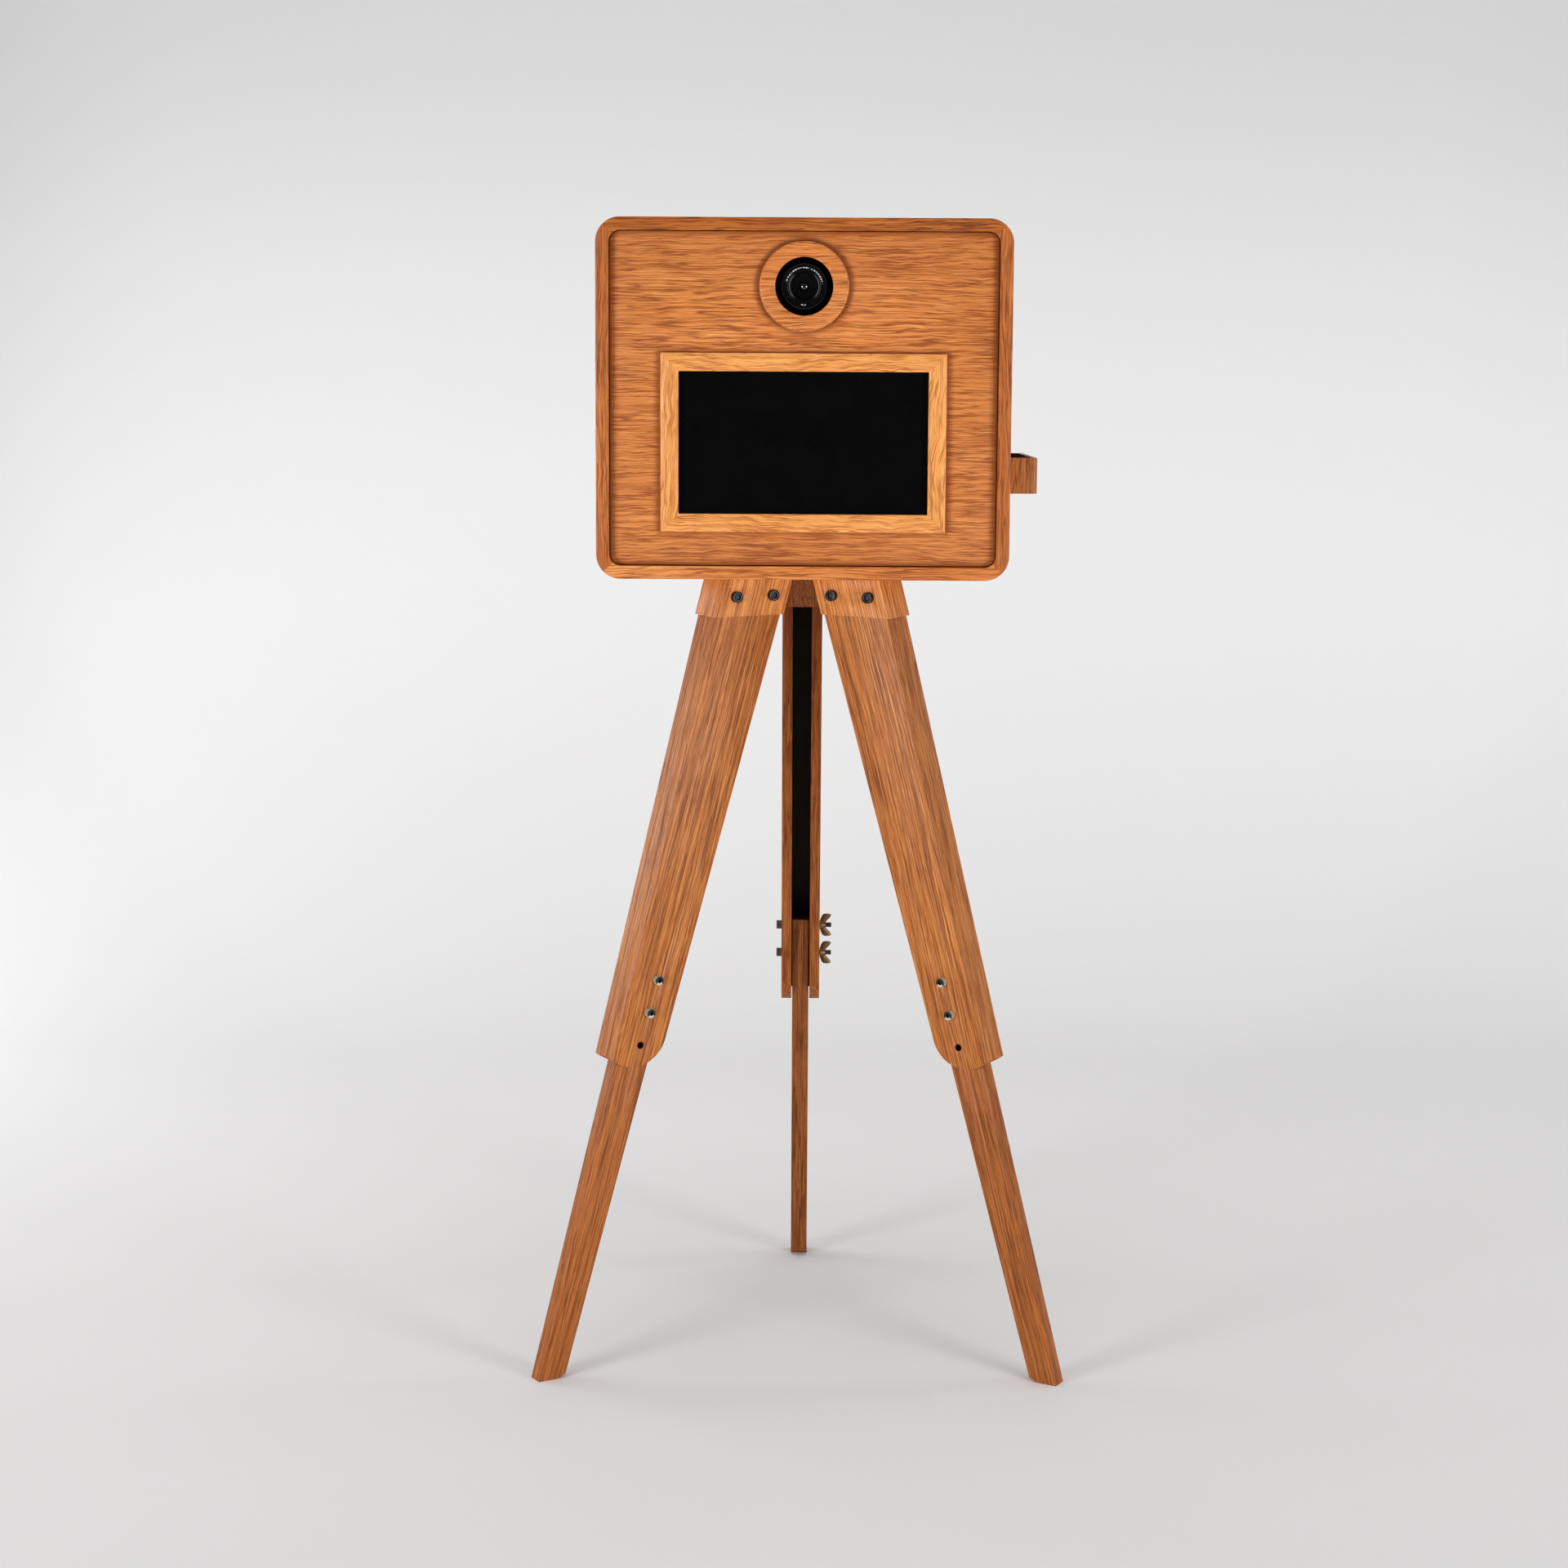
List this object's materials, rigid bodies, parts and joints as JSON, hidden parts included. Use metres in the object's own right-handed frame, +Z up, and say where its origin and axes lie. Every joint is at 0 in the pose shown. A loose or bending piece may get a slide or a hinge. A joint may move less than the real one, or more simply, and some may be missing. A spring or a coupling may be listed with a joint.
{
  "type": "photo booth",
  "caption": "Wooden photo booth: a rounded cabinet with a camera behind a round ring and a framed touch screen, a side catch tray, on a three-legged stand with telescoping legs.",
  "frame": {"origin": "on the floor, at the middle of the footprint", "axes": "+Z up, the screen and lens face -Y, the catch tray is on +X"},
  "size_m": [0.759, 0.6574, 1.635],
  "materials": {
    "oak_cabinet": "semi-gloss varnish",
    "oak_frame": "semi-gloss varnish",
    "oak_upper_leg": "satin varnish",
    "oak_lower_leg": "satin varnish",
    "black_glass": "polished",
    "lens_glass": "coated",
    "black_plastic": "fine matt",
    "grey_plastic": "matt",
    "black_metal": "satin black",
    "bright_steel": "bright zinc",
    "brass": "aged"
  },
  "bodies": {
    "cabinet_and_stand": {"cabinet_battens": "oak_cabinet", "cabinet_shell": "oak_cabinet", "camera_body": "black_plastic", "camera_bracket": "black_metal", "cap_bolts": "black_metal", "catch_tray": "oak_cabinet", "clamp_bolts": "bright_steel", "computer": "black_plastic", "equipment_shelf": "oak_cabinet", "front_element": "lens_glass", "front_panel": "oak_cabinet", "head_blocks": "oak_upper_leg", "hinge_leaves_cabinet": "bright_steel", "hinge_pins": "bright_steel", "inlet_pins": "brass", "leg_cap_left": "oak_upper_leg", "leg_cap_rear": "oak_upper_leg", "leg_cap_right": "oak_upper_leg", "leg_dowels": "oak_upper_leg", "lens_barrel": "black_plastic", "lens_ring": "oak_cabinet", "lip_bottom_rail": "oak_cabinet", "lip_left_rail": "oak_cabinet", "lip_right_rail": "oak_cabinet", "lip_top_rail": "oak_cabinet", "monitor_chassis": "black_metal", "monitor_straps": "black_metal", "mount_plate": "black_metal", "plate_screws": "bright_steel", "power_inlet": "black_plastic", "power_supply": "black_metal", "printer": "grey_plastic", "screen_frame_bottom": "oak_frame", "screen_frame_left": "oak_frame", "screen_frame_right": "oak_frame", "screen_frame_top": "oak_frame", "touch_glass": "black_glass", "upper_leg_left_cheeks": "oak_upper_leg", "upper_leg_left_outer_board": "oak_upper_leg", "upper_leg_rear_cheeks": "oak_upper_leg", "upper_leg_rear_outer_board": "oak_upper_leg", "upper_leg_right_cheeks": "oak_upper_leg", "upper_leg_right_outer_board": "oak_upper_leg"},
    "lower_leg_left": {"lower_leg_left": "oak_lower_leg"},
    "wing_nut_left_upper": {"wing_nut_left_upper": "brass"},
    "wing_nut_left_lower": {"wing_nut_left_lower": "brass"},
    "lower_leg_right": {"lower_leg_right": "oak_lower_leg"},
    "wing_nut_right_upper": {"wing_nut_right_upper": "brass"},
    "wing_nut_right_lower": {"wing_nut_right_lower": "brass"},
    "lower_leg_rear": {"lower_leg_rear": "oak_lower_leg"},
    "wing_nut_rear_upper": {"wing_nut_rear_upper": "brass"},
    "wing_nut_rear_lower": {"wing_nut_rear_lower": "brass"},
    "rear_door": {"rear_door": "oak_cabinet", "hinge_leaves_door": "bright_steel", "lock_body": "bright_steel"},
    "lock": {"lock_plug": "bright_steel"},
    "focus_ring": {"focus_ring": "black_plastic"},
    "zoom_ring": {"zoom_ring": "black_plastic"},
    "camera_knob": {"camera_knob": "black_plastic"},
    "power_rocker": {"power_rocker": "black_plastic"}
  },
  "joints": [
    {"name": "left_leg_slide", "type": "slide", "parent": "cabinet_and_stand", "child": "lower_leg_left", "axis": [0.239, 0.138, 0.9612], "range_m": [0, 0.055]},
    {"name": "right_leg_slide", "type": "slide", "parent": "cabinet_and_stand", "child": "lower_leg_right", "axis": [-0.239, 0.138, 0.9612], "range_m": [0, 0.055]},
    {"name": "rear_leg_slide", "type": "slide", "parent": "cabinet_and_stand", "child": "lower_leg_rear", "axis": [0, -0.276, 0.9612], "range_m": [0, 0.055]},
    {"name": "left_upper_wing_nut_turn", "type": "hinge", "parent": "cabinet_and_stand", "child": "wing_nut_left_upper", "pos_m": [-0.2336, -0.19795, 0.569], "axis": [-0.5, 0.866, 0], "continuous": true},
    {"name": "left_lower_wing_nut_turn", "type": "hinge", "parent": "cabinet_and_stand", "child": "wing_nut_left_lower", "pos_m": [-0.24504, -0.20455, 0.523], "axis": [-0.5, 0.866, 0], "continuous": true},
    {"name": "right_upper_wing_nut_turn", "type": "hinge", "parent": "cabinet_and_stand", "child": "wing_nut_right_upper", "pos_m": [0.2336, -0.19795, 0.569], "axis": [0.5, 0.866, 0], "continuous": true},
    {"name": "right_lower_wing_nut_turn", "type": "hinge", "parent": "cabinet_and_stand", "child": "wing_nut_right_lower", "pos_m": [0.24504, -0.20455, 0.523], "axis": [0.5, 0.866, 0], "continuous": true},
    {"name": "rear_upper_wing_nut_turn", "type": "hinge", "parent": "cabinet_and_stand", "child": "wing_nut_rear_upper", "pos_m": [0.034, 0.14777, 0.569], "axis": [1, 0, 0], "continuous": true},
    {"name": "rear_lower_wing_nut_turn", "type": "hinge", "parent": "cabinet_and_stand", "child": "wing_nut_rear_lower", "pos_m": [0.034, 0.16098, 0.523], "axis": [1, 0, 0], "continuous": true},
    {"name": "rear_door_swing", "type": "hinge", "parent": "cabinet_and_stand", "child": "rear_door", "pos_m": [-0.2685, 0.03616, 1.386], "axis": [0, 0, 1], "range_deg": [0, 110]},
    {"name": "lock_turn", "type": "hinge", "parent": "rear_door", "child": "lock", "pos_m": [0.2355, 0.03266, 1.386], "axis": [0, 1, 0], "range_deg": [0, 90]},
    {"name": "focus_ring_turn", "type": "hinge", "parent": "cabinet_and_stand", "child": "focus_ring", "pos_m": [0, -0.20834, 1.5415], "axis": [0, 1, 0], "range_deg": [0, 120]},
    {"name": "zoom_ring_turn", "type": "hinge", "parent": "cabinet_and_stand", "child": "zoom_ring", "pos_m": [0, -0.18334, 1.5415], "axis": [0, 1, 0], "range_deg": [0, 65]},
    {"name": "camera_knob_turn", "type": "hinge", "parent": "cabinet_and_stand", "child": "camera_knob", "pos_m": [0, -0.12734, 1.4875], "axis": [0, 0, 1], "continuous": true},
    {"name": "power_rocker_tilt", "type": "hinge", "parent": "cabinet_and_stand", "child": "power_rocker", "pos_m": [-0.2815, -0.03734, 1.2145], "axis": [0, 1, 0], "range_deg": [0, 14]}
  ]
}
